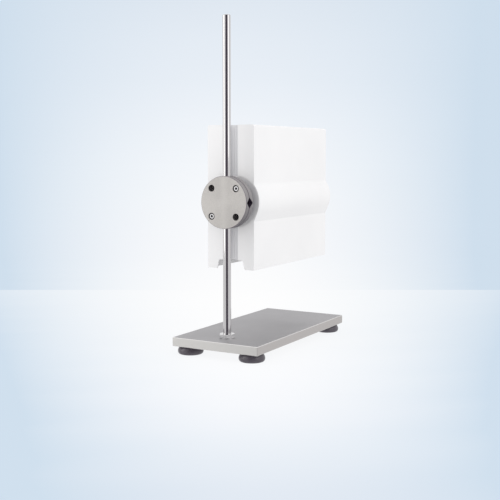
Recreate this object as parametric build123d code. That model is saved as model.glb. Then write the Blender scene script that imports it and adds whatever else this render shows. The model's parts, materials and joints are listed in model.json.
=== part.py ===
from build123d import *
import os
from math import cos, radians, sin, sqrt

# Laboratory stand: a steel base plate on four rubber feet, a round rod locked into it, and a
# two-disc clamp on the rod that carries a white, open-bottomed instrument housing.
# Millimetres, +Z up, +Y from the rod towards the far end of the plate. The origin is on the
# table under the middle of the whole stand; the functions below work from the rod's axis.

# Base plate and feet
plate_length = 300.0
plate_width = 146.0
plate_thickness = 13.5
plate_bevel = 0.8
rod_inset = 38.6
foot_height = 12.5
foot_radius = 19.4
foot_top_radius = 15.3
foot_base_radius = 16.2
foot_belly_height = 4.8
foot_inset = 20.0
foot_recess_radius = 8.0
foot_recess_depth = 6.5
foot_screw_radius = 2.5
foot_screw_head_radius = 4.75
foot_screw_head_height = 2.8
foot_screw_grip = 8.0
foot_washer_radius = 7.0
foot_washer_thickness = 1.2

# Rod and its lock nut
rod_diameter = 12.0
rod_length = 490.0
rod_chamfer = 0.8
nut_across_flats = 22.0
nut_height = 6.0
nut_chamfer_height = 1.1

# Clamp: two discs with crossing V-grooves that grip a rod of the stand's size
disc_radius = 39.0
disc_gap = 1.0
disc_web = 1.25
disc_bevel = 0.4
clamp_height = 203.0  # clamp axis above the plate's top
hole_circle_radius = 29.5
access_hole_radius = 5.25
clamp_screw_radius = 2.5
clamp_screw_length = 12.0
clamp_screw_sink = 1.0
screw_head_radius = 4.25
screw_head_height = 5.0
screw_socket_flats = 4.0
screw_socket_depth = 2.5
screw_head_bevel = 0.4
mounting_screw_length = 9.0
mounting_head_sink = 0.3

# Hub between the clamp and the housing, and the round core inside the housing
hub_plate_radius = 35.0
hub_plate_thickness = 5.0
hub_neck_radius = 22.0
hub_bolt_radius = 4.0
hub_bolt_length = 18.0
hub_bolt_head_radius = 6.5
hub_bolt_head_height = 8.0
hub_bolt_socket_flats = 6.0
hub_bolt_socket_depth = 4.0
hub_washer_radius = 8.0
hub_washer_thickness = 1.6
core_radius = 37.0
core_wall = 2.5
cap_thickness = 3.0
cap_spigot = 6.0
rear_cap_rim = 1.7
rear_cap_sink = 2.0

# Housing: two half shells, open at the bottom
housing_width = 81.0
housing_height = 218.0
housing_depth = 254.0
housing_offset = -9.0  # the housing's middle plane, to the left of the rod
housing_clear = 100.0  # from the plate's top to the housing's lower edge
housing_gap = 26.0  # from the rod's axis to the housing's back face
housing_wall = 2.5
edge_radius = 3.0
rim_radius = 1.0
bulge_wall = 3.3
bulge_foot_drop = 29.5  # lower crease of the bulge below the clamp's axis
bulge_blend = 7.0
groove_width = 24.5
groove_depth = 11.0
notch_width = 42.0
notch_height = 14.0
notch_flare = 3.2
notch_radius = 4.0
parting_gap = 0.3
rib_thickness = 3.0
rib_reach = 44.0
rib_insets = (60.0, 195.0)
boss_radius = 5.0
boss_inset = 8.0
boss_drop = 18.0
boss_rise = 30.0
shell_screw_radius = 2.0
shell_screw_length = 25.0
shell_screw_head_radius = 3.5
shell_screw_head_height = 3.0
shell_screw_sink = 25.0

# Clearances
running_clearance = 0.05
hole_clearance = 0.25
free_clearance = 0.3

# Places that follow from the sizes
plate_bottom = foot_height
plate_top = plate_bottom + plate_thickness
rod_radius = rod_diameter / 2
rod_bottom = plate_bottom
rod_top = rod_bottom + rod_length
nut_radius = nut_across_flats / 2
nut_corner_radius = nut_radius / cos(radians(30))
groove_side = rod_diameter + 2 * running_clearance
disc_inner = disc_gap / 2
disc_outer = groove_side / sqrt(2) + disc_web
clamp_z = plate_top + clamp_height
hole_offset = hole_circle_radius * sin(radians(45))
clamp_holes = ((hole_offset, hole_offset), (-hole_offset, -hole_offset))
mounting_holes = ((-hole_offset, hole_offset), (hole_offset, -hole_offset))
mounting_sink = screw_head_height + mounting_head_sink
housing_back = housing_gap
housing_front = housing_back + housing_depth
housing_left = housing_offset - housing_width / 2
housing_right = housing_offset + housing_width / 2
housing_bottom = plate_top + housing_clear
housing_top = housing_bottom + housing_height
core_back = housing_back + rear_cap_sink
tube_back = core_back + cap_thickness
tube_front = housing_front - housing_wall - free_clearance - cap_thickness
rear_cap_radius = core_radius + rear_cap_rim
opening_radius = rear_cap_radius + free_clearance
bulge_radius = core_radius + free_clearance + bulge_wall
bulge_inner_radius = bulge_radius - housing_wall
foot_x = plate_width / 2 - foot_inset
foot_near_y = foot_inset - rod_inset
foot_far_y = plate_length - rod_inset - foot_inset
middle_y = (housing_front - rod_inset) / 2

feet = {
    "foot_near_left": (-foot_x, foot_near_y),
    "foot_near_right": (foot_x, foot_near_y),
    "foot_far_left": (-foot_x, foot_far_y),
    "foot_far_right": (foot_x, foot_far_y),
}
boss_places = [
    (y, z)
    for y in (
        housing_back + groove_depth + housing_wall + boss_inset,
        housing_front - housing_wall - boss_inset,
    )
    for z in (housing_bottom + boss_rise, housing_top - boss_drop)
]


def block(x_low, x_high, y_low, y_high, z_low, z_high):
    size = (x_high - x_low, y_high - y_low, z_high - z_low)
    middle = ((x_low + x_high) / 2, (y_low + y_high) / 2, (z_low + z_high) / 2)
    return Pos(*middle) * Box(*size)


def bar_x(radius, x_low, x_high, y, z):
    return Pos((x_low + x_high) / 2, y, z) * Rot(0, 90, 0) * Cylinder(radius, x_high - x_low)


def bar_y(radius, y_low, y_high, x=0.0, z=clamp_z):
    return Pos(x, (y_low + y_high) / 2, z) * Rot(90, 0, 0) * Cylinder(radius, y_high - y_low)


def bar_z(radius, z_low, z_high, x=0.0, y=0.0):
    return Pos(x, y, (z_low + z_high) / 2) * Cylinder(radius, z_high - z_low)


def socket_screw(radius, length, head_radius, head_height, flats, socket_depth):
    """Cap screw along +Z, with the top of its head at the origin."""
    head = bar_z(head_radius, 0, head_height)
    head = chamfer(head.edges().sort_by(Axis.Z)[0], screw_head_bevel)
    shank = bar_z(radius, head_height, head_height + length)
    socket = extrude(RegularPolygon(flats / 2, 6, major_radius=False), socket_depth)
    return head + shank - socket


def base_plate():
    plate = block(
        -plate_width / 2, plate_width / 2, -rod_inset, plate_length - rod_inset, plate_bottom, plate_top
    )
    plate = chamfer(plate.edges(), plate_bevel)
    plate -= bar_z(rod_radius + running_clearance, plate_bottom, plate_top)
    hole_top = plate_bottom + foot_screw_grip + hole_clearance
    for x, y in feet.values():
        plate -= bar_z(foot_screw_radius, plate_bottom, hole_top, x, y)
    return plate


def support_rod():
    rod = bar_z(rod_radius, rod_bottom, rod_top)
    return chamfer(rod.edges().filter_by(GeomType.CIRCLE), rod_chamfer)


def lock_nut():
    prism = extrude(RegularPolygon(nut_radius, 6, major_radius=False), nut_height)
    corner = nut_corner_radius
    shoulder = nut_height - nut_chamfer_height
    outline = Polyline(
        (0, 0), (nut_radius, 0), (corner, nut_chamfer_height), (corner, shoulder),
        (nut_radius, nut_height), (0, nut_height), close=True,
    )
    turned = revolve(make_face(Plane.XZ * outline), Axis.Z)
    nut = Pos(0, 0, plate_top) * (prism & turned)
    return nut - bar_z(rod_radius + running_clearance, plate_top, plate_top + nut_height)


def foot(x, y):
    outer = ThreePointArc(
        (foot_base_radius, 0), (foot_radius, foot_belly_height), (foot_top_radius, foot_height)
    )
    rest = Polyline((foot_top_radius, foot_height), (0, foot_height), (0, 0), (foot_base_radius, 0))
    body = revolve(make_face(Plane.XZ * (outer + rest)), Axis.Z)
    body -= bar_z(foot_recess_radius, 0, foot_recess_depth)
    body -= bar_z(foot_screw_radius + hole_clearance, 0, foot_height)
    return Pos(x, y, 0) * body


def foot_screws():
    head_top = foot_recess_depth - foot_washer_thickness
    head_bottom = head_top - foot_screw_head_height
    tip = plate_bottom + foot_screw_grip
    head = bar_z(foot_screw_head_radius, head_bottom, head_top)
    head = fillet(head.edges().sort_by(Axis.Z)[0], foot_screw_head_height / 2)
    screw = head + bar_z(foot_screw_radius, head_top, tip)
    return Compound([Pos(x, y, 0) * screw for x, y in feet.values()])


def foot_washers():
    bottom = foot_recess_depth - foot_washer_thickness
    washer = bar_z(foot_washer_radius, bottom, foot_recess_depth)
    washer -= bar_z(foot_screw_radius + hole_clearance, bottom, foot_recess_depth)
    return Compound([Pos(x, y, 0) * washer for x, y in feet.values()])


def crossed_grooves():
    """The square channels that the two facing V-grooves make, one upright and one level."""
    reach = 2 * disc_radius
    upright = Pos(0, 0, clamp_z) * Rot(0, 0, 45) * Box(groove_side, groove_side, reach)
    level = Pos(0, 0, clamp_z) * Rot(45, 0, 0) * Box(reach, groove_side, groove_side)
    return upright + level


def clamp_disc(y_low, y_high):
    disc = bar_y(disc_radius, y_low, y_high)
    disc = chamfer(disc.edges().filter_by(GeomType.CIRCLE), disc_bevel)
    return disc - crossed_grooves()


def clamp_front_disc():
    disc = clamp_disc(-disc_outer, -disc_inner)
    seat = -disc_outer + clamp_screw_sink + screw_head_height
    for x, z in clamp_holes:
        disc -= bar_y(access_hole_radius, -disc_outer, seat, x, clamp_z + z)
        disc -= bar_y(clamp_screw_radius + hole_clearance, seat, -disc_inner, x, clamp_z + z)
    for x, z in mounting_holes:
        disc -= bar_y(access_hole_radius, -disc_outer, -disc_inner, x, clamp_z + z)
    return disc


def clamp_rear_disc():
    disc = clamp_disc(disc_inner, disc_outer)
    for x, z in clamp_holes:
        disc -= bar_y(clamp_screw_radius + running_clearance, disc_inner, disc_outer, x, clamp_z + z)
    for x, z in mounting_holes:
        sunk = disc_inner + mounting_sink
        disc -= bar_y(screw_head_radius + hole_clearance, disc_inner, sunk, x, clamp_z + z)
        disc -= bar_y(clamp_screw_radius + hole_clearance, sunk, disc_outer, x, clamp_z + z)
    return disc


def disc_screw(x, z, head_top, length):
    screw = socket_screw(
        clamp_screw_radius, length,
        screw_head_radius, screw_head_height,
        screw_socket_flats, screw_socket_depth,
    )
    return Pos(x, head_top, clamp_z + z) * Rot(-90, 0, 0) * screw


def clamp_screw(x, z):
    return disc_screw(x, z, -disc_outer + clamp_screw_sink - running_clearance, clamp_screw_length)


def mounting_screws():
    head_top = disc_inner + mounting_head_sink
    return Compound([disc_screw(x, z, head_top, mounting_screw_length) for x, z in mounting_holes])


def mount_hub():
    plate_end = disc_outer + hub_plate_thickness
    hub = bar_y(hub_plate_radius, disc_outer, plate_end)
    hub += bar_y(hub_neck_radius, plate_end, core_back)
    for x, z in mounting_holes:
        hub -= bar_y(clamp_screw_radius, disc_outer, plate_end, x, clamp_z + z)
    return hub - bar_y(hub_bolt_radius, disc_outer, core_back)


def core_rear_cap():
    cap = bar_y(rear_cap_radius, core_back, tube_back)
    cap += bar_y(core_radius - core_wall - running_clearance, tube_back, tube_back + cap_spigot)
    return cap - bar_y(hub_bolt_radius + hole_clearance, core_back, tube_back + cap_spigot)


def core_tube():
    tube = bar_y(core_radius, tube_back, tube_front)
    return tube - bar_y(core_radius - core_wall, tube_back, tube_front)


def core_front_cap():
    cap = bar_y(core_radius, tube_front, tube_front + cap_thickness)
    return cap + bar_y(core_radius - core_wall - running_clearance, tube_front - cap_spigot, tube_front)


def hub_washer():
    start = tube_back + cap_spigot
    washer = bar_y(hub_washer_radius, start, start + hub_washer_thickness)
    return washer - bar_y(hub_bolt_radius + hole_clearance, start, start + hub_washer_thickness)


def hub_bolt():
    bolt = socket_screw(
        hub_bolt_radius, hub_bolt_length, hub_bolt_head_radius, hub_bolt_head_height,
        hub_bolt_socket_flats, hub_bolt_socket_depth,
    )
    head_top = tube_back + cap_spigot + hub_washer_thickness + hub_bolt_head_height
    return Pos(0, head_top, clamp_z) * Rot(90, 0, 0) * bolt


def side_outline(inset, radius, blend):
    """Outline seen along Y: square sides, rounded top edges, and the bulge on the right."""
    left = housing_left + inset
    right = housing_right - inset
    top = housing_top - inset
    drop = bulge_foot_drop
    reach = sqrt(right**2 + drop**2)
    half_turn = sqrt(reach**2 - radius**2)
    # the flat under the bulge leaves the wall at the crease and runs tangent to the arc
    along = radius / reach
    across = half_turn / reach
    touch_x = radius * (along * right / reach + across * drop / reach)
    touch_z = clamp_z - radius * (along * drop / reach - across * right / reach)
    shoulder_z = clamp_z + sqrt(radius**2 - right**2)
    corners = [
        (right, shoulder_z), (right, top), (left, top), (left, housing_bottom),
        (right, housing_bottom), (right, clamp_z - drop), (touch_x, touch_z),
    ]
    arc = ThreePointArc(corners[-1], (radius, clamp_z), corners[0])
    face = make_face(Polyline(*corners) + arc)
    upper = face.vertices().sort_by(Axis.Y)[-2:]
    face = fillet(upper, edge_radius - inset / 2)
    shoulder = face.vertices().sort_by_distance((right, shoulder_z))[0]
    return fillet(shoulder, blend)


def prism(outline, y_low, y_high):
    """The outline, drawn in X and Z, as a solid from y_low to y_high."""
    solid = extrude(Plane.XZ * outline, -(y_high - y_low))
    return Pos(0, y_low, 0) * solid


def housing_outer():
    outer = prism(side_outline(0, bulge_radius, bulge_blend), housing_back, housing_front)
    for end in (outer.faces().sort_by(Axis.Y)[0], outer.faces().sort_by(Axis.Y)[-1]):
        outer = fillet(end.edges(), rim_radius)
    half = groove_width / 2
    return outer - block(
        housing_offset - half, housing_offset + half,
        housing_back, housing_back + groove_depth,
        housing_bottom, housing_top,
    )


def housing_hollow():
    hollow = prism(
        side_outline(housing_wall, bulge_inner_radius, bulge_blend + housing_wall),
        housing_back + housing_wall, housing_front - housing_wall,
    )
    half = groove_width / 2 + housing_wall
    hollow -= block(
        housing_offset - half, housing_offset + half,
        housing_back, housing_back + groove_depth + housing_wall,
        housing_bottom, housing_top,
    )
    return hollow


def notch():
    half = notch_width / 2
    foot = half + notch_flare
    outline = make_face(Polyline(
        (-half, notch_height), (half, notch_height), (foot, 0), (-foot, 0), close=True
    ))
    outline = fillet(outline.vertices().sort_by(Axis.Y)[-2:], notch_radius)
    return Pos(housing_offset, 0, housing_bottom) * prism(
        outline, housing_back, housing_back + groove_depth + housing_wall
    )


def saddle_ribs(outer):
    """Ribs across the housing that hold the core tube."""
    ribs = Part()
    for inset in rib_insets:
        y = housing_back + inset
        ribs += block(
            housing_left, bulge_radius, y, y + rib_thickness, clamp_z - rib_reach, clamp_z + rib_reach
        )
    ribs = ribs & outer
    return ribs - bar_y(core_radius + running_clearance, housing_back, housing_front)


def housing_body():
    outer = housing_outer()
    opening = bar_y(opening_radius, housing_back, housing_back + groove_depth + housing_wall)
    body = outer - housing_hollow() - opening - notch()
    body += saddle_ribs(outer)
    for y, z in boss_places:
        body += bar_x(boss_radius, housing_left + housing_wall, housing_right - housing_wall, y, z)
    head_seat = housing_left + shell_screw_sink
    tip = head_seat + shell_screw_length
    for y, z in boss_places:
        body -= bar_x(shell_screw_head_radius + hole_clearance, housing_left, head_seat, y, z)
        body -= bar_x(shell_screw_radius + hole_clearance, head_seat, housing_offset, y, z)
        body -= bar_x(shell_screw_radius, housing_offset, tip + hole_clearance, y, z)
    return body


def half_shells():
    body = housing_body()
    seam = parting_gap / 2
    extent = (housing_back, housing_front, housing_bottom, housing_top)
    left = body & block(housing_left, housing_offset - seam, *extent)
    right = body & block(housing_offset + seam, bulge_radius, *extent)
    return left, right


def shell_screws():
    head_seat = housing_left + shell_screw_sink
    screws = []
    for y, z in boss_places:
        head = bar_x(shell_screw_head_radius, head_seat - shell_screw_head_height, head_seat, y, z)
        head = fillet(head.edges().sort_by(Axis.X)[0], shell_screw_head_height / 2)
        screws.append(head + bar_x(shell_screw_radius, head_seat, head_seat + shell_screw_length, y, z))
    return Compound(screws)


def pieces():
    housing_left_shell, housing_right_shell = half_shells()
    made = {
        "base_plate": base_plate(),
        "support_rod": support_rod(),
        "rod_lock_nut": lock_nut(),
        "foot_screws": foot_screws(),
        "foot_washers": foot_washers(),
        "clamp_front_disc": clamp_front_disc(),
        "clamp_rear_disc": clamp_rear_disc(),
        "clamp_screw_upper": clamp_screw(*clamp_holes[0]),
        "clamp_screw_lower": clamp_screw(*clamp_holes[1]),
        "mounting_screws": mounting_screws(),
        "mount_hub": mount_hub(),
        "hub_bolt": hub_bolt(),
        "hub_washer": hub_washer(),
        "core_rear_cap": core_rear_cap(),
        "core_tube": core_tube(),
        "core_front_cap": core_front_cap(),
        "housing_left_shell": housing_left_shell,
        "housing_right_shell": housing_right_shell,
        "shell_screws": shell_screws(),
    }
    for name, place in feet.items():
        made[name] = foot(*place)
    return made


os.makedirs("parts", exist_ok=True)
for name, solid in pieces().items():
    export_step(Pos(0, -middle_y, 0) * solid, f"parts/{name}.step")
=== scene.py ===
import bmesh
import bpy
import json
from math import cos, pi, radians, sin
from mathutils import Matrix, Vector


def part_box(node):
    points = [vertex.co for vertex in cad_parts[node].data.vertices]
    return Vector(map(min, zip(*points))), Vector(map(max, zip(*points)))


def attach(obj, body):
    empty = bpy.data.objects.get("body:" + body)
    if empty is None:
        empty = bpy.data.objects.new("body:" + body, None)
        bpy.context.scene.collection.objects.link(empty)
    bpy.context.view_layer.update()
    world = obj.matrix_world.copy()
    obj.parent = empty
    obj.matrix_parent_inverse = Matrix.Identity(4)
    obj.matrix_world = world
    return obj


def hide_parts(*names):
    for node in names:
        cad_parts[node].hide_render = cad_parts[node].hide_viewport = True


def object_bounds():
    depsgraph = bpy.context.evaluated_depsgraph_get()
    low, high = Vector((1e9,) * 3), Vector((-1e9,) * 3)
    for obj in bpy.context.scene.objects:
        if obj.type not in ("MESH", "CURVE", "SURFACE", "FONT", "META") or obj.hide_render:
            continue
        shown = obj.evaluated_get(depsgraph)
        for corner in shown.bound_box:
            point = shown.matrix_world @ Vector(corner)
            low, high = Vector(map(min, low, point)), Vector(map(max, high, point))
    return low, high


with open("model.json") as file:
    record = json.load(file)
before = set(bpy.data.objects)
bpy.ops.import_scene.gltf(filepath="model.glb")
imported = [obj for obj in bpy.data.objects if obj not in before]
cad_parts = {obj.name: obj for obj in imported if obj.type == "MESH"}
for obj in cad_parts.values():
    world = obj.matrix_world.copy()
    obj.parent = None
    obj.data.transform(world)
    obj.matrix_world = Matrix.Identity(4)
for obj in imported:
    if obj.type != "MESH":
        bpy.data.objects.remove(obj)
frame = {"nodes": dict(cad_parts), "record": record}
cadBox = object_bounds()
nodes = frame["nodes"]
scene = bpy.context.scene
print("frame loaded:", len(nodes), "nodes")


def mathNode(tree, operation, *values):
    # a number may be a plain value or another node's output
    node = tree.nodes.new("ShaderNodeMath")
    node.operation = operation
    for socket, value in zip(node.inputs, values):
        if isinstance(value, (int, float)):
            socket.default_value = value
        else:
            tree.links.new(value, socket)
    return node.outputs[0]


def newMaterial(name, colour, roughness, metallic=0.0):
    material = bpy.data.materials.new(name)
    material.use_nodes = True
    shader = material.node_tree.nodes["Principled BSDF"]
    shader.inputs["Base Color"].default_value = (*colour, 1.0)
    shader.inputs["Roughness"].default_value = roughness
    shader.inputs["Metallic"].default_value = metallic
    return material, material.node_tree, shader


def objectPattern(tree, stretch=(1.0, 1.0, 1.0)):
    # object coordinates, in metres, stretched for grain that runs one way
    place = tree.nodes.new("ShaderNodeTexCoord")
    mapping = tree.nodes.new("ShaderNodeMapping")
    mapping.inputs["Scale"].default_value = stretch
    tree.links.new(place.outputs["Object"], mapping.inputs["Vector"])
    return mapping.outputs["Vector"]


def noiseOn(tree, vector, scale, detail=3.0):
    noise = tree.nodes.new("ShaderNodeTexNoise")
    noise.inputs["Scale"].default_value = scale
    noise.inputs["Detail"].default_value = detail
    tree.links.new(vector, noise.inputs["Vector"])
    return noise.outputs["Fac"]


def colourBetween(tree, factor, dark, light, low=0.3, high=0.7):
    ramp = tree.nodes.new("ShaderNodeValToRGB")
    ramp.color_ramp.elements[0].position = low
    ramp.color_ramp.elements[0].color = (*dark, 1.0)
    ramp.color_ramp.elements[1].position = high
    ramp.color_ramp.elements[1].color = (*light, 1.0)
    tree.links.new(factor, ramp.inputs["Fac"])
    return ramp.outputs["Color"]


def valueBetween(tree, factor, low, high, fromLow=0.0, fromHigh=1.0):
    spread = tree.nodes.new("ShaderNodeMapRange")
    spread.inputs["From Min"].default_value = fromLow
    spread.inputs["From Max"].default_value = fromHigh
    spread.inputs["To Min"].default_value = low
    spread.inputs["To Max"].default_value = high
    tree.links.new(factor, spread.inputs["Value"])
    return spread.outputs["Result"]


def bumpFrom(tree, shader, height, strength, distance):
    bump = tree.nodes.new("ShaderNodeBump")
    bump.inputs["Strength"].default_value = strength
    bump.inputs["Distance"].default_value = distance
    tree.links.new(height, bump.inputs["Height"])
    tree.links.new(bump.outputs["Normal"], shader.inputs["Normal"])


def blend(tree, factor, first, second):
    # a colour may be a plain tuple or another node's output
    mix = tree.nodes.new("ShaderNodeMix")
    mix.data_type = "RGBA"
    tree.links.new(factor, mix.inputs[0])
    for socket, value in ((mix.inputs[6], first), (mix.inputs[7], second)):
        if isinstance(value, tuple):
            socket.default_value = (*value, 1.0)
        else:
            tree.links.new(value, socket)
    return mix.outputs[2]


def faceTurn(tree):
    # how far a surface faces along X, Y and Z of its own object
    place = tree.nodes.new("ShaderNodeTexCoord")
    split = tree.nodes.new("ShaderNodeSeparateXYZ")
    tree.links.new(place.outputs["Normal"], split.inputs["Vector"])
    return split.outputs


# one dictionary and one function per material
plateSteel = {
    "topDark": (0.385, 0.378, 0.387),
    "topLight": (0.42, 0.412, 0.422),
    # painted light and shade: the end faces lighter and the long sides darker, though both are the same
    # ground finish
    "paintedLitEndFace": (0.595, 0.588, 0.572),
    "paintedShadedLongSide": (0.485, 0.465, 0.455),
    "edgeLine": (0.70, 0.69, 0.68),
    "roughness": (0.42, 0.54),
    "grain": 900.0,
    "patches": 14.0,
    "bump": (0.12, 0.00004),  # strength, then depth in metres
}


def satinSteel():
    # a brushed top, ground sides with painted light on the end faces and painted shade on the long sides, and
    # bright bevel lines between them
    material, tree, shader = newMaterial("satinSteel", plateSteel["topLight"], 0.42, 0.85)
    fine = noiseOn(tree, objectPattern(tree, (1.0, 0.05, 1.0)), plateSteel["grain"], 4.0)
    broad = noiseOn(tree, objectPattern(tree), plateSteel["patches"], 2.0)
    facing = faceTurn(tree)
    top = colourBetween(tree, broad, plateSteel["topDark"], plateSteel["topLight"])
    acrossY = mathNode(tree, "ABSOLUTE", facing["Y"])
    upright = mathNode(tree, "ABSOLUTE", facing["Z"])
    # painted light and shade: sides facing along Y take the lighter tone, sides facing along X the darker
    paintedSideShading = blend(tree, acrossY, plateSteel["paintedShadedLongSide"], plateSteel["paintedLitEndFace"])
    bevelled = blend(tree, mathNode(tree, "GREATER_THAN", upright, 0.3), paintedSideShading, plateSteel["edgeLine"])
    colour = blend(tree, mathNode(tree, "GREATER_THAN", upright, 0.95), bevelled, top)
    tree.links.new(colour, shader.inputs["Base Color"])
    tree.links.new(valueBetween(tree, fine, *plateSteel["roughness"]), shader.inputs["Roughness"])
    bumpFrom(tree, shader, fine, *plateSteel["bump"])
    return material


rodSteel = {
    "colour": (0.56, 0.55, 0.555),
    "roughness": (0.06, 0.10),
    "grain": 600.0,
    "bump": (0.01, 0.000001),
}


def polishedSteel():
    # fine rings from grinding run round the rod
    material, tree, shader = newMaterial("polishedSteel", rodSteel["colour"], 0.07, 1.0)
    rings = noiseOn(tree, objectPattern(tree, (0.1, 0.1, 1.0)), rodSteel["grain"], 3.0)
    tree.links.new(valueBetween(tree, rings, *rodSteel["roughness"]), shader.inputs["Roughness"])
    bumpFrom(tree, shader, rings, *rodSteel["bump"])
    return material


screwSteel = {
    "colour": (0.72, 0.72, 0.72),
    "worn": (0.64, 0.64, 0.645),
    # painted shade, laid where the shade attribute is set
    "shade": (0.035, 0.030, 0.040),
    "roughness": (0.16, 0.3),
    "grain": 2200.0,
    "patches": 160.0,
    "bump": (0.08, 0.00001),
}


def brightSteel():
    # bright metal, with painted shade where a piece's own shade attribute says so
    material, tree, shader = newMaterial("brightSteel", screwSteel["colour"], 0.2, 1.0)
    shade = tree.nodes.new("ShaderNodeAttribute")
    shade.attribute_name = "shade"
    patches = noiseOn(tree, objectPattern(tree), screwSteel["patches"], 2.0)
    metal = colourBetween(tree, patches, screwSteel["worn"], screwSteel["colour"])
    colour = blend(tree, shade.outputs["Fac"], metal, screwSteel["shade"])
    tree.links.new(colour, shader.inputs["Base Color"])
    grain = noiseOn(tree, objectPattern(tree), screwSteel["grain"], 3.0)
    tree.links.new(valueBetween(tree, grain, *screwSteel["roughness"]), shader.inputs["Roughness"])
    bumpFrom(tree, shader, grain, *screwSteel["bump"])
    return material


discMetal = {
    "dark": (0.472, 0.456, 0.438),
    "light": (0.565, 0.548, 0.525),
    # painted highlight: a pale upright streak down the middle of the face
    "paintedSheen": (0.65, 0.633, 0.608),
    "paintedSheenShare": 0.38,
    "paintedSheenHalf": 0.009,  # half width of the pale upright streak
    "rim": (0.36, 0.345, 0.345),
    # painted shade for the rim's underside
    "rimUnderPaintedShade": (0.19, 0.18, 0.19),
    # painted shade on the sloping walls of the grip grooves
    "grip": (0.13, 0.105, 0.15),
    "roughness": (0.5, 0.62),
    "grain": 2600.0,
    "patches": 700.0,
    "bump": (0.25, 0.00003),
    "anisotropic": 0.4,
}


def blastedMetal():
    # a blasted face with faint turning marks and a painted highlight as a pale upright streak, a darker
    # turned rim with painted shade on its underside, and painted shade in the grip grooves
    material, tree, shader = newMaterial("blastedMetal", discMetal["light"], 0.55, 0.75)
    grain = noiseOn(tree, objectPattern(tree), discMetal["grain"], 5.0)
    patches = noiseOn(tree, objectPattern(tree), discMetal["patches"], 3.0)
    face = colourBetween(tree, patches, discMetal["dark"], discMetal["light"], 0.2, 0.8)
    split = tree.nodes.new("ShaderNodeSeparateXYZ")
    tree.links.new(objectPattern(tree), split.inputs["Vector"])
    lower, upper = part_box("clamp_front_disc")
    aside = mathNode(tree, "SUBTRACT", split.outputs["X"], (lower[0] + upper[0]) / 2)
    aside = mathNode(tree, "ABSOLUTE", aside)
    # painted highlight: paler the nearer the face lies to the upright middle line
    paintedSheen = valueBetween(tree, aside, discMetal["paintedSheenShare"], 0.0, 0.0, discMetal["paintedSheenHalf"])
    face = blend(tree, paintedSheen, face, discMetal["paintedSheen"])
    facing = faceTurn(tree)
    # painted shade: the rim darkens as it faces downwards
    lift = valueBetween(tree, facing["Z"], 0.0, 1.0, -0.8, 0.7)
    rim = blend(tree, lift, discMetal["rimUnderPaintedShade"], discMetal["rim"])
    squareOn = mathNode(tree, "ABSOLUTE", facing["Y"])
    # painted shade: faces that slope like the groove walls take the dark tone
    sloping = blend(tree, mathNode(tree, "GREATER_THAN", squareOn, 0.6), rim, discMetal["grip"])
    colour = blend(tree, mathNode(tree, "GREATER_THAN", squareOn, 0.9), sloping, face)
    tree.links.new(colour, shader.inputs["Base Color"])
    tree.links.new(valueBetween(tree, grain, *discMetal["roughness"]), shader.inputs["Roughness"])
    shader.inputs["Anisotropic"].default_value = discMetal["anisotropic"]
    tangent = tree.nodes.new("ShaderNodeTangent")
    tangent.direction_type = "RADIAL"
    tangent.axis = "Y"
    tree.links.new(tangent.outputs["Tangent"], shader.inputs["Tangent"])
    bumpFrom(tree, shader, grain, *discMetal["bump"])
    return material


whiteMoulding = {
    # painted shade for the groove
    "grooveShadePainted": (0.60, 0.60, 0.625),
    "grooveHalf": 0.0128,  # metres from the seam, and from the back face
    "grooveDepth": 0.0113,
    # groovePaler is the share of the painted shade kept at the seam
    "groovePaler": 0.5,  # the tint's share at the seam, full towards the walls
    "dark": (0.83, 0.83, 0.835),
    "light": (0.87, 0.87, 0.872),
    "roughness": (0.42, 0.52),
    "grain": 1800.0,
    "patches": 9.0,
    "bump": (0.15, 0.00003),
}


def between(tree, value, least, most):
    # one inside the two limits, nought outside
    above = mathNode(tree, "GREATER_THAN", value, least)
    return mathNode(tree, "MULTIPLY", above, mathNode(tree, "LESS_THAN", value, most))


def whitePlastic():
    # white moulding, with painted shade where the groove for the rod runs down its back
    material, tree, shader = newMaterial("whitePlastic", whiteMoulding["light"], 0.46)
    left, right = (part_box(name) for name in ("housing_left_shell", "housing_right_shell"))
    seam, back = (left[1][0] + right[0][0]) / 2, left[0][1]
    half, depth = whiteMoulding["grooveHalf"], whiteMoulding["grooveDepth"]
    split = tree.nodes.new("ShaderNodeSeparateXYZ")
    tree.links.new(objectPattern(tree), split.inputs["Vector"])
    across = between(tree, split.outputs["X"], seam - half, seam + half)
    along = between(tree, split.outputs["Y"], back - 0.001, back + depth)
    sunk = valueBetween(tree, split.outputs["Y"], 0.0, 1.0, back + 0.0003, back + 0.005)
    aside = mathNode(tree, "ABSOLUTE", mathNode(tree, "SUBTRACT", split.outputs["X"], seam))
    corner = valueBetween(tree, aside, whiteMoulding["groovePaler"], 1.0, half * 0.1, half * 0.55)
    # painted shade: inside the groove, deepening away from the back face and towards the walls
    grooveShadeMask = mathNode(tree, "MULTIPLY", mathNode(tree, "MULTIPLY", across, along), sunk)
    grooveShadeMask = mathNode(tree, "MULTIPLY", grooveShadeMask, corner)
    grain = noiseOn(tree, objectPattern(tree), whiteMoulding["grain"], 4.0)
    patches = noiseOn(tree, objectPattern(tree), whiteMoulding["patches"], 2.0)
    plain = colourBetween(tree, patches, whiteMoulding["dark"], whiteMoulding["light"])
    colour = blend(tree, grooveShadeMask, plain, whiteMoulding["grooveShadePainted"])
    tree.links.new(colour, shader.inputs["Base Color"])
    tree.links.new(valueBetween(tree, grain, *whiteMoulding["roughness"]), shader.inputs["Roughness"])
    bumpFrom(tree, shader, grain, *whiteMoulding["bump"])
    return material


capMoulding = {
    # painted shade next to the clamp, paling out to the outer tone
    "innerPaintedShade": (0.50, 0.495, 0.52),
    "outer": (0.80, 0.80, 0.81),
    "innerRadius": 0.030,
    "outerRadius": 0.0385,
    "roughness": (0.5, 0.6),
    "grain": 1600.0,
    "patches": 30.0,
    "bump": (0.15, 0.00003),
}


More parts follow.
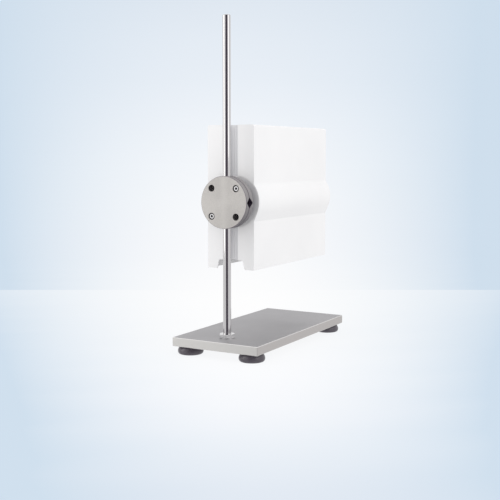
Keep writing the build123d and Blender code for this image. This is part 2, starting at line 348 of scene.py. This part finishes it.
def greyPlastic():
    # pale caps, with painted shade towards the clamp
    material, tree, shader = newMaterial("greyPlastic", capMoulding["outer"], 0.55)
    lower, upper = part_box("core_rear_cap")
    split = tree.nodes.new("ShaderNodeSeparateXYZ")
    tree.links.new(objectPattern(tree), split.inputs["Vector"])
    sideways = mathNode(tree, "SUBTRACT", split.outputs["X"], (lower[0] + upper[0]) / 2)
    upwards = mathNode(tree, "SUBTRACT", split.outputs["Z"], (lower[2] + upper[2]) / 2)
    squares = [mathNode(tree, "POWER", part, 2.0) for part in (sideways, upwards)]
    away = mathNode(tree, "SQRT", mathNode(tree, "ADD", *squares))
    # painted shade: dark inside the inner radius, paling to the outer radius
    paintedShadeFade = valueBetween(tree, away, 0.0, 1.0, capMoulding["innerRadius"], capMoulding["outerRadius"])
    grain = noiseOn(tree, objectPattern(tree), capMoulding["grain"], 4.0)
    patches = noiseOn(tree, objectPattern(tree), capMoulding["patches"], 2.0)
    mottledAndPaintedShade = mathNode(tree, "MULTIPLY", paintedShadeFade, valueBetween(tree, patches, 0.9, 1.0))
    colour = blend(tree, mottledAndPaintedShade, capMoulding["innerPaintedShade"], capMoulding["outer"])
    tree.links.new(colour, shader.inputs["Base Color"])
    tree.links.new(valueBetween(tree, grain, *capMoulding["roughness"]), shader.inputs["Roughness"])
    bumpFrom(tree, shader, grain, *capMoulding["bump"])
    return material


footRubber = {
    "dark": (0.056, 0.048, 0.061),
    "light": (0.086, 0.075, 0.092),
    "roughness": (0.26, 0.38),
    "grain": 1200.0,
    "dust": 70.0,
    "bump": (0.2, 0.00004),
}


def blackRubber():
    # moulded rubber with a little dust on it
    material, tree, shader = newMaterial("blackRubber", footRubber["light"], 0.42)
    grain = noiseOn(tree, objectPattern(tree), footRubber["grain"], 4.0)
    dust = noiseOn(tree, objectPattern(tree), footRubber["dust"], 3.0)
    colour = colourBetween(tree, dust, footRubber["dark"], footRubber["light"])
    tree.links.new(colour, shader.inputs["Base Color"])
    tree.links.new(valueBetween(tree, grain, *footRubber["roughness"]), shader.inputs["Roughness"])
    bumpFrom(tree, shader, grain, *footRubber["bump"])
    return material


finishes = {
    "base_steel": satinSteel(),
    "rod_steel": polishedSteel(),
    "fastener_steel": brightSteel(),
    "clamp_metal": blastedMetal(),
    "core_metal": brightSteel(),
    "cap_plastic": greyPlastic(),
    "housing_plastic": whitePlastic(),
    "foot_rubber": blackRubber(),
}

for part in frame["record"]["subparts"]:
    node = nodes[part["node"]]
    node.data.materials.clear()
    node.data.materials.append(finishes[part["material_slot"]])
print("materials on the CAD nodes")


# one tree turns the feet and the screws from their profiles
turning = {
    "segments": 120,
    "hexSides": 6,
    "mergeWithin": 0.000002,
    "sharpFrom": 32,  # degrees between faces
}


def namedAttribute(tree, name):
    node = tree.nodes.new("GeometryNodeInputNamedAttribute")
    node.data_type = "FLOAT"
    node.inputs["Name"].default_value = name
    return next(socket for socket in node.outputs if socket.name == "Attribute" and socket.enabled)


def sampledFrom(tree, profile, value, index, kind="FLOAT"):
    node = tree.nodes.new("GeometryNodeSampleIndex")
    node.data_type = kind
    node.domain = "POINT"
    tree.links.new(profile, node.inputs["Geometry"])
    tree.links.new(value, next(socket for socket in node.inputs if socket.name == "Value" and socket.enabled))
    tree.links.new(index, node.inputs["Index"])
    return node.outputs[0]


def cutRadius(tree, given, kept, radius, height, angle, share):
    # hexagonal, then knurled, then threaded, each as far as the profile's rows ask for it
    flat = pi / turning["hexSides"]
    withinFlat = mathNode(tree, "SUBTRACT", mathNode(tree, "MODULO", angle, 2 * flat), flat)
    hexRadius = mathNode(tree, "DIVIDE", given["Hex Apothem"], mathNode(tree, "COSINE", withinFlat))
    shift = mathNode(tree, "MULTIPLY", mathNode(tree, "SUBTRACT", hexRadius, radius), kept("hexness"))
    radius = mathNode(tree, "ADD", radius, shift)
    ridge = mathNode(tree, "COSINE", mathNode(tree, "MULTIPLY", angle, given["Knurl Count"]))
    dip = mathNode(tree, "MULTIPLY", mathNode(tree, "MULTIPLY_ADD", ridge, 0.5, 0.5), kept("knurl"))
    radius = mathNode(tree, "SUBTRACT", radius, mathNode(tree, "MULTIPLY", dip, given["Knurl Depth"]))
    climb = mathNode(tree, "ADD", mathNode(tree, "DIVIDE", height, given["Pitch"]), share)
    valley = mathNode(tree, "PINGPONG", climb, 0.5)
    cut = mathNode(tree, "MULTIPLY", mathNode(tree, "MULTIPLY", valley, 2.0), kept("thread"))
    return mathNode(tree, "SUBTRACT", radius, mathNode(tree, "MULTIPLY", cut, given["Thread Depth"]))


def copiedOnSeats(tree, given, seats, piece):
    # a copy on every seat, made real and given its material
    link = tree.links.new
    copies = tree.nodes.new("GeometryNodeInstanceOnPoints")
    link(seats, copies.inputs["Points"])
    link(piece, copies.inputs["Instance"])
    link(given["Turn"], copies.inputs["Rotation"])
    real = tree.nodes.new("GeometryNodeRealizeInstances")
    link(copies.outputs[0], real.inputs[0])
    coat = tree.nodes.new("GeometryNodeSetMaterial")
    link(real.outputs[0], coat.inputs["Geometry"])
    link(given["Material"], coat.inputs["Material"])
    return coat.outputs[0]


def turnedTree():
    # turns a profile about Z with hex, knurled and threaded rows, and puts a copy on every seat
    tree = bpy.data.node_groups.new("turnedPart", "GeometryNodeTree")
    sockets = tree.interface
    sockets.new_socket("Geometry", in_out="INPUT", socket_type="NodeSocketGeometry")
    for name, kind in (
        ("Segments", "Int"), ("Hex Apothem", "Float"), ("Knurl Count", "Float"), ("Knurl Depth", "Float"),
        ("Pitch", "Float"), ("Thread Depth", "Float"), ("Turn", "Vector"), ("Material", "Material"),
    ):
        sockets.new_socket(name, in_out="INPUT", socket_type="NodeSocket" + kind)
    sockets.new_socket("Geometry", in_out="OUTPUT", socket_type="NodeSocketGeometry")
    given = tree.nodes.new("NodeGroupInput").outputs
    link = tree.links.new

    # seats say where the copies go, and the other points are the profile
    parted = tree.nodes.new("GeometryNodeSeparateGeometry")
    parted.domain = "POINT"
    link(given["Geometry"], parted.inputs["Geometry"])
    link(namedAttribute(tree, "seat"), parted.inputs["Selection"])
    seats, profile = parted.outputs["Selection"], parted.outputs["Inverted"]
    count = tree.nodes.new("GeometryNodeAttributeDomainSize")
    count.component = "MESH"
    link(profile, count.inputs["Geometry"])
    rows = count.outputs["Point Count"]

    # a grid with one row per profile point, and one column per step round the axis
    grid = tree.nodes.new("GeometryNodeMeshGrid")
    link(mathNode(tree, "ADD", given["Segments"], 1), grid.inputs["Vertices X"])
    link(rows, grid.inputs["Vertices Y"])
    index = tree.nodes.new("GeometryNodeInputIndex").outputs[0]
    row = mathNode(tree, "MODULO", index, rows)
    step = mathNode(tree, "FLOOR", mathNode(tree, "DIVIDE", index, rows))
    share = mathNode(tree, "DIVIDE", step, given["Segments"])
    angle = mathNode(tree, "MULTIPLY", share, 2 * pi)
    place = tree.nodes.new("GeometryNodeInputPosition").outputs[0]
    point = tree.nodes.new("ShaderNodeSeparateXYZ")
    link(sampledFrom(tree, profile, place, row, "FLOAT_VECTOR"), point.inputs["Vector"])
    radius, height = point.outputs["X"], point.outputs["Z"]

    def kept(label):
        return sampledFrom(tree, profile, namedAttribute(tree, label), row)

    radius = cutRadius(tree, given, kept, radius, height, angle, share)

    # the grid wrapped round Z, with the profile's shade kept on it
    onLathe = tree.nodes.new("ShaderNodeCombineXYZ")
    link(mathNode(tree, "MULTIPLY", radius, mathNode(tree, "COSINE", angle)), onLathe.inputs["X"])
    link(mathNode(tree, "MULTIPLY", radius, mathNode(tree, "SINE", angle)), onLathe.inputs["Y"])
    link(height, onLathe.inputs["Z"])
    shaped = tree.nodes.new("GeometryNodeSetPosition")
    link(grid.outputs["Mesh"], shaped.inputs["Geometry"])
    link(onLathe.outputs[0], shaped.inputs["Position"])
    toned = tree.nodes.new("GeometryNodeStoreNamedAttribute")
    toned.data_type = "FLOAT"
    toned.domain = "POINT"
    toned.inputs["Name"].default_value = "shade"
    link(kept("shade"), next(socket for socket in toned.inputs if socket.name == "Value" and socket.enabled))
    link(shaped.outputs[0], toned.inputs["Geometry"])
    merged = tree.nodes.new("GeometryNodeMergeByDistance")
    merged.inputs["Distance"].default_value = turning["mergeWithin"]
    link(toned.outputs[0], merged.inputs["Geometry"])
    link(copiedOnSeats(tree, given, seats, merged.outputs[0]), tree.nodes.new("NodeGroupOutput").inputs[0])
    return tree


turned = turnedTree()


def plainMesh(name, maker, material):
    # the evaluated shape as a mesh of its own, with its sharp edges kept sharp
    bpy.context.view_layer.update()
    evaluated = maker.evaluated_get(bpy.context.evaluated_depsgraph_get())
    mesh = bpy.data.meshes.new_from_object(evaluated)
    bpy.data.objects.remove(maker)
    mesh.name = name
    mesh.materials.clear()
    mesh.materials.append(material)
    shape = bmesh.new()
    shape.from_mesh(mesh)
    bmesh.ops.recalc_face_normals(shape, faces=shape.faces)
    for face in shape.faces:
        face.smooth = True
    for edge in shape.edges:
        edge.smooth = edge.is_manifold and edge.calc_face_angle(0.0) < radians(turning["sharpFrom"])
    shape.to_mesh(mesh)
    shape.free()
    made = bpy.data.objects.new(name, mesh)
    scene.collection.objects.link(made)
    return made


def turnedPiece(name, profile, seats, material, **inputs):
    # profile rows are (radius, height, hexness, knurl, thread, shade)
    rows = [(*row, 0.0, 0.0, 0.0, 0.0)[:6] for row in profile]
    points = [(row[0], 0.0, row[1]) for row in rows] + [tuple(seat) for seat in seats]
    mesh = bpy.data.meshes.new(name + "Profile")
    mesh.from_pydata(points, [], [])
    for column, label in ((2, "hexness"), (3, "knurl"), (4, "thread"), (5, "shade")):
        values = [row[column] for row in rows] + [0.0] * len(seats)
        mesh.attributes.new(label, "FLOAT", "POINT").data.foreach_set("value", values)
    flags = [0.0] * len(rows) + [1.0] * len(seats)
    mesh.attributes.new("seat", "FLOAT", "POINT").data.foreach_set("value", flags)
    maker = bpy.data.objects.new(name + "Maker", mesh)
    scene.collection.objects.link(maker)
    modifier = maker.modifiers.new("turned", "NODES")
    modifier.node_group = turned
    settings = {"Segments": turning["segments"], "Material": material, "Pitch": 1.0, **inputs}
    for item in turned.interface.items_tree:
        if item.in_out == "INPUT" and item.name in settings:
            modifier[item.identifier] = settings[item.name]
    return plainMesh(name, maker, material)


footShape = {
    "bore": 0.145,  # radii are shares of the foot's radius, heights of its height
    "recess": 0.412,
    "recessTop": 0.52,
    "base": 0.835,
    "belly": 0.384,
    "top": 0.789,
    "seamDip": 0.008,
    "steps": 12,
    "shrink": 0.9995,  # keeps the rim inside its place
}


def makeFeet():
    # rubber feet: a rounded rim over a recess that holds the screw head
    names = [name for name in nodes if name.startswith("foot_") and name.split("_")[1] in ("near", "far")]
    lower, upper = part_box(names[0])
    radius, height = (upper.x - lower.x) / 2, upper.z - lower.z
    steps = footShape["steps"]
    base, belly, top = footShape["base"], footShape["belly"], footShape["top"]
    rim = []
    for step in range(steps + 1):
        share = step / steps
        rim.append((base + (1 - base) * sin(share * pi / 2), belly * (1 - cos(share * pi / 2))))
    for step in range(1, steps + 1):
        share = step / steps
        rim.append((1 - (1 - top) * share**1.9, belly + (1 - belly) * share))
    rim.insert(steps + 1, (1 - footShape["seamDip"], belly + 0.02))
    bore, recess, roof = footShape["bore"], footShape["recess"], footShape["recessTop"]
    profile = [(bore, 1.0), (bore, roof), (recess, roof), (recess, 0.05), (recess + 0.03, 0.0)]
    profile += [(base - 0.02, 0.0)] + rim[1:-1]
    profile += [(top, 0.995), (top - 0.02, 1.0), (bore, 1.0)]
    sized = [(r * radius * footShape["shrink"], z * height) for r, z in profile]
    seats = []
    for name in names:
        under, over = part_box(name)
        seats.append(((under.x + over.x) / 2, (under.y + over.y) / 2, under.z))
    feet = turnedPiece("rubberFeet", sized, seats, finishes["foot_rubber"])
    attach(feet, "base")
    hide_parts(*names)


screwShape = {
    "headHeight": 0.005,
    "socketDepth": 0.0025,
    "hexApothem": 0.0017,  # half the socket's width across flats
    "shankRadius": 0.0025,
    "bevel": 0.0004,
    "pitch": 0.0008,
    "threadDepth": 0.00045,
    "threadRows": 96,
    "knurlCount": 30.0,
    "knurlDepth": 0.00014,
}


def screwProfile(radius, length):
    # (radius, height, hexness, knurl, thread, shade) from the socket's floor, over the head, to the tip
    shape = screwShape
    bevel, depth, apothem = shape["bevel"], shape["socketDepth"], shape["hexApothem"]
    under, shank = -shape["headHeight"], shape["shankRadius"]
    rows = [
        # the shade column is painted shade: dark in the socket and at its mouth, and round the head's
        # bevelled and knurled rim
        (0.0, -depth - 0.0005, 0, 0, 0, 1),
        (apothem, -depth, 1, 0, 0, 1),
        (apothem, -0.0002, 1, 0, 0, 1),
        (apothem * 1.12, 0.0, 0, 0, 0, 0.6),
        (apothem * 1.2, 0.0),
        (radius - bevel * 2.2, 0.0),
        (radius - bevel * 1.9, 0.0, 0, 0, 0, 0.8),
        (radius - bevel * 0.6, -bevel * 0.3, 0, 0, 0, 1),
        (radius, -bevel, 0, 0, 0, 1),
        (radius, -bevel * 1.3, 0, 1, 0, 0.8),
        (radius, under + bevel * 0.9, 0, 1, 0, 0.5),
        (radius, under + bevel * 0.6),
        (radius - bevel * 0.6, under),
        (shank, under),
    ]
    start, end = under - 0.0004, -length + 0.0006
    for step in range(shape["threadRows"] + 1):
        rows.append((shank, start + (end - start) * step / shape["threadRows"], 0, 0, 1))
    return rows + [(shank * 0.75, -length), (0.0, -length)]


def makeScrews(name, node, body, corners):
    # each corner of the node's box, right or left and high or low, holds one screw
    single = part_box("clamp_screw_upper")
    radius = (single[1].x - single[0].x) / 2
    lower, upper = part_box(node)
    seats = []
    for right, high in corners:
        x = upper.x - radius if right else lower.x + radius
        z = upper.z - radius if high else lower.z + radius
        seats.append((x, lower.y, z))
    inputs = {
        "Hex Apothem": screwShape["hexApothem"],
        "Knurl Count": screwShape["knurlCount"],
        "Knurl Depth": screwShape["knurlDepth"],
        "Pitch": screwShape["pitch"],
        "Thread Depth": screwShape["threadDepth"],
        "Turn": (pi / 2, 0.0, 0.0),
    }
    profile = screwProfile(radius, upper.y - lower.y)
    screws = turnedPiece(name, profile, seats, finishes["fastener_steel"], **inputs)
    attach(screws, body)
    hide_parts(node)


makeFeet()
makeScrews("upperClampScrew", "clamp_screw_upper", "upper_screw", [(True, True)])
makeScrews("lowerClampScrew", "clamp_screw_lower", "lower_screw", [(False, False)])
makeScrews("mountingScrews", "mounting_screws", "head", [(True, False), (False, True)])
print("feet and screws turned")


middle = (Vector(cadBox[0]) + Vector(cadBox[1])) / 2

cameraSet = {
    "azimuth": 29.507,
    "elevation": 4.712,
    "distance": 1.438,
    "aimFromMiddle": (-0.0190, -0.0177, -0.0716),
    "lens": 64.89,
    "shiftUp": -0.04,
}


def lookBack(azimuth, elevation):
    # unit vector from the object towards the viewer
    turn, lift = radians(azimuth), radians(elevation)
    return Vector((sin(turn) * cos(lift), -cos(turn) * cos(lift), sin(lift)))


def makeCamera():
    data = bpy.data.cameras.new("camera")
    data.lens = cameraSet["lens"]
    data.sensor_width = 36.0
    data.shift_y = cameraSet["shiftUp"]
    camera = bpy.data.objects.new("camera", data)
    scene.collection.objects.link(camera)
    back = lookBack(cameraSet["azimuth"], cameraSet["elevation"])
    aim = middle + Vector(cameraSet["aimFromMiddle"])
    camera.location = aim + back * cameraSet["distance"]
    camera.rotation_mode = "QUATERNION"
    camera.rotation_quaternion = (-back).to_track_quat("-Z", "Y")
    scene.camera = camera
    return camera


def meshObject(name, points, faces, material):
    mesh = bpy.data.meshes.new(name)
    mesh.from_pydata([tuple(point) for point in points], [], faces)
    mesh.materials.append(material)
    mesh.update()
    made = bpy.data.objects.new(name, mesh)
    scene.collection.objects.link(made)
    return made


sweep = {
    "flatBehind": 1.2,
    "flatBefore": -10.0,
    "bend": 0.8,
    "wallTop": 7.0,
    "halfWidth": 10.0,
    "floorSteps": 80,
    "bendSteps": 24,
    "columns": 60,
    # painted light: the glowing tone at each distance along the sweep from the object's middle, palest in a
    # pool round the object
    "tones": [
        (-3.0, (0.93, 0.945, 0.96)),
        (-0.95, (0.60, 0.71, 0.82)),
        (-0.667, (0.745, 0.807, 0.888)),
        (-0.546, (0.823, 0.871, 0.930)),
        (-0.401, (0.922, 0.939, 0.973)),
        (-0.203, (0.965, 0.973, 0.991)),
        (0.002, (0.985, 0.987, 0.993)),
        (0.409, (0.990, 0.991, 0.993)),
        (1.421, (0.948, 0.956, 0.977)),
        (1.691, (0.930, 0.948, 0.972)),
        (1.895, (0.900, 0.930, 0.965)),
        (2.071, (0.855, 0.896, 0.947)),
        (2.235, (0.799, 0.855, 0.922)),
        (2.393, (0.768, 0.831, 0.905)),
        (2.522, (0.730, 0.799, 0.880)),
        (3.2, (0.60, 0.70, 0.82)),
    ],
    # painted light falls off sideways from the middle line to this tone
    "sideTone": (0.60, 0.72, 0.84),
    "sideFall": 14.5,  # how fast the tone leaves the middle line
    "brightLine": -0.022,
    "seam": 0.55,  # the tone steps a little where floor and wall papers meet
    "seamShare": 0.64,
    "seamFrom": -0.40,
    "grain": 3.0,
    "shaded": 0.07,  # share of the floor's tone that takes shadow
}


def sweepMaterial(start, end):
    # self-lit paper with a painted pool of light towards the object, which takes only a faint shadow
    material, tree, shader = newMaterial("paleSweep", (0.9, 0.9, 0.9), 0.9)
    spread = tree.nodes.new("ShaderNodeUVMap")
    split = tree.nodes.new("ShaderNodeSeparateXYZ")
    tree.links.new(spread.outputs["UV"], split.inputs["Vector"])
    ramp = tree.nodes.new("ShaderNodeValToRGB")
    stops = ramp.color_ramp.elements
    for place, tone in sweep["tones"][1:-1]:
        stops.new((place - start) / (end - start)).color = (*tone, 1.0)
    stops[0].position = (sweep["tones"][0][0] - start) / (end - start)
    stops[0].color = (*sweep["tones"][0][1], 1.0)
    stops[-1].position = (sweep["tones"][-1][0] - start) / (end - start)
    stops[-1].color = (*sweep["tones"][-1][1], 1.0)
    tree.links.new(split.outputs["Y"], ramp.inputs["Fac"])
    offLine = mathNode(tree, "SUBTRACT", split.outputs["X"], sweep["brightLine"])
    aside = mathNode(tree, "MULTIPLY", offLine, offLine)
    seam, seamFrom = ((sweep[name] - start) / (end - start) for name in ("seam", "seamFrom"))
    nearer = valueBetween(tree, split.outputs["Y"], 1.0, sweep["seamShare"], seamFrom, seam)
    farther = mathNode(tree, "GREATER_THAN", split.outputs["Y"], seam)
    share = mathNode(tree, "MAXIMUM", nearer, farther)
    falling = mathNode(tree, "MULTIPLY", mathNode(tree, "MULTIPLY", aside, sweep["sideFall"]), share)
    fall = mathNode(tree, "MINIMUM", falling, 1.0)
    tone = blend(tree, fall, ramp.outputs["Color"], sweep["sideTone"])
    grain = noiseOn(tree, objectPattern(tree), sweep["grain"], 2.0)
    shade = tree.nodes.new("ShaderNodeMix")
    shade.data_type = "RGBA"
    shade.blend_type = "MULTIPLY"
    shade.inputs[0].default_value = 1.0
    tree.links.new(tone, shade.inputs[6])
    tree.links.new(valueBetween(tree, grain, 0.985, 1.0), shade.inputs[7])
    tree.links.new(shade.outputs[2], shader.inputs["Emission Color"])
    shader.inputs["Emission Strength"].default_value = 1.0 - sweep["shaded"]
    shader.inputs["Base Color"].default_value = (*[sweep["shaded"]] * 3, 1.0)
    shader.inputs["Specular IOR Level"].default_value = 0.0
    return material


def makeSweep(camera):
    # a floor that bends up into a wall, square to the camera
    ahead = -lookBack(cameraSet["azimuth"], 0)
    aside = Vector((ahead.y, -ahead.x, 0))
    flat, bend = sweep["flatBehind"], sweep["bend"]
    steps, bends, columns = sweep["floorSteps"], sweep["bendSteps"], sweep["columns"]
    before = sweep["flatBefore"]
    line = [(before + (flat - before) * step / steps, 0.0) for step in range(steps + 1)]
    lengths = [place for place, height in line]
    for step in range(1, bends + 1):
        turn = pi / 2 * step / bends
        line.append((flat + bend * sin(turn), bend * (1 - cos(turn))))
        lengths.append(flat + bend * turn)
    line.append((flat + bend, sweep["wallTop"]))
    lengths.append(lengths[-1] + sweep["wallTop"] - bend)
    start, end = lengths[0], lengths[-1]
    base = Vector((middle.x, middle.y, 0))
    eye = (camera.location - base).dot(ahead)
    points, uvs, faces = [], [], []
    for (place, height), length in zip(line, lengths):
        for column in range(columns + 1):
            across = sweep["halfWidth"] * (2 * column / columns - 1)
            points.append(base + ahead * place + aside * across + Vector((0, 0, height)))
            away = max(place - eye, 0.3)
            fade = min(max((place + 2.0) / 1.2, 0.0), 1.0)
            uvs.append((across / away * fade, (length - start) / (end - start)))
    for row in range(len(line) - 1):
        for column in range(columns):
            corner = row * (columns + 1) + column
            faces.append((corner, corner + 1, corner + columns + 2, corner + columns + 1))
    paper = meshObject("paleSweep", points, faces, sweepMaterial(start, end))
    layer = paper.data.uv_layers.new(name="UVMap")
    for loop in paper.data.loops:
        layer.data[loop.index].uv = uvs[loop.vertex_index]
    paper.visible_diffuse = False
    paper.visible_glossy = False
    paper.visible_shadow = False


softboxes = {
    # azimuth, elevation, distance, size and power
    "sideSoftbox": (78, 30, 1.4, (0.75, 1.4), 3.2),
    "topSoftbox": (20, 75, 1.7, (1.6, 1.6), 1.6),
    "leftSoftbox": (-48, 18, 1.7, (0.7, 1.6), 6.2),
}
lamp = {"colour": (1.0, 0.985, 0.96), "aimHeight": 0.2}


def areaLight(name, azimuth, elevation, away, size, power):
    data = bpy.data.lights.new(name, "AREA")
    data.shape = "RECTANGLE"
    data.size, data.size_y = size
    data.energy = power
    data.color = lamp["colour"]
    light = bpy.data.objects.new(name, data)
    scene.collection.objects.link(light)
    back = lookBack(azimuth, elevation)
    light.location = Vector((middle.x, middle.y, lamp["aimHeight"])) + back * away
    light.rotation_mode = "QUATERNION"
    light.rotation_quaternion = (-back).to_track_quat("-Z", "Y")
    light.visible_camera = False


air = {
    "below": (0.84, 0.84, 0.85),
    "low": (0.965, 0.96, 0.965),
    "high": (0.90, 0.90, 0.91),
    "strength": 1.055,
}


def makeAir():
    # neutral studio air, brightest at the horizon
    world = bpy.data.worlds.new("studioAir")
    scene.world = world
    world.use_nodes = True
    tree = world.node_tree
    place = tree.nodes.new("ShaderNodeTexCoord")
    split = tree.nodes.new("ShaderNodeSeparateXYZ")
    tree.links.new(place.outputs["Generated"], split.inputs["Vector"])
    height = valueBetween(tree, split.outputs["Z"], 0.0, 1.0, -1.0, 1.0)
    tint = colourBetween(tree, height, air["below"], air["high"], 0.3, 0.8)
    tint.node.color_ramp.elements.new(0.5).color = (*air["low"], 1.0)
    background = tree.nodes["Background"]
    tree.links.new(tint, background.inputs["Color"])
    background.inputs["Strength"].default_value = air["strength"]


card = {
    "colour": (0.09, 0.075, 0.10),
    "away": 0.42,
    "turnFrom": -2.0,  # degrees round the rod
    "turnTo": 59.0,
    "height": 0.75,
    "below": 0.2,
    "steps": 8,
}


def makeCard():
    # a dark card before the rod, seen only in what is polished
    material = newMaterial("darkCard", card["colour"], 0.9)[0]
    rod = [sum(side) / 2 for side in zip(*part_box("support_rod"))]
    steps = card["steps"]
    points, faces = [], []
    for step in range(steps + 1):
        turn = card["turnFrom"] + (card["turnTo"] - card["turnFrom"]) * step / steps
        foot = Vector((rod[0], rod[1], 0.0)) + lookBack(turn, 0) * card["away"]
        points += [foot - Vector((0, 0, card["below"])), foot + Vector((0, 0, card["height"]))]
        if step:
            last = 2 * step
            faces.append((last - 2, last, last + 1, last - 1))
    made = meshObject("darkCard", points, faces, material)
    made.visible_camera = False
    made.visible_diffuse = False
    made.visible_shadow = False


makeAir()
makeSweep(makeCamera())
makeCard()
for name, settings in softboxes.items():
    areaLight(name, *settings)
scene.view_settings.view_transform = "Standard"
print("camera, sweep and lights made")
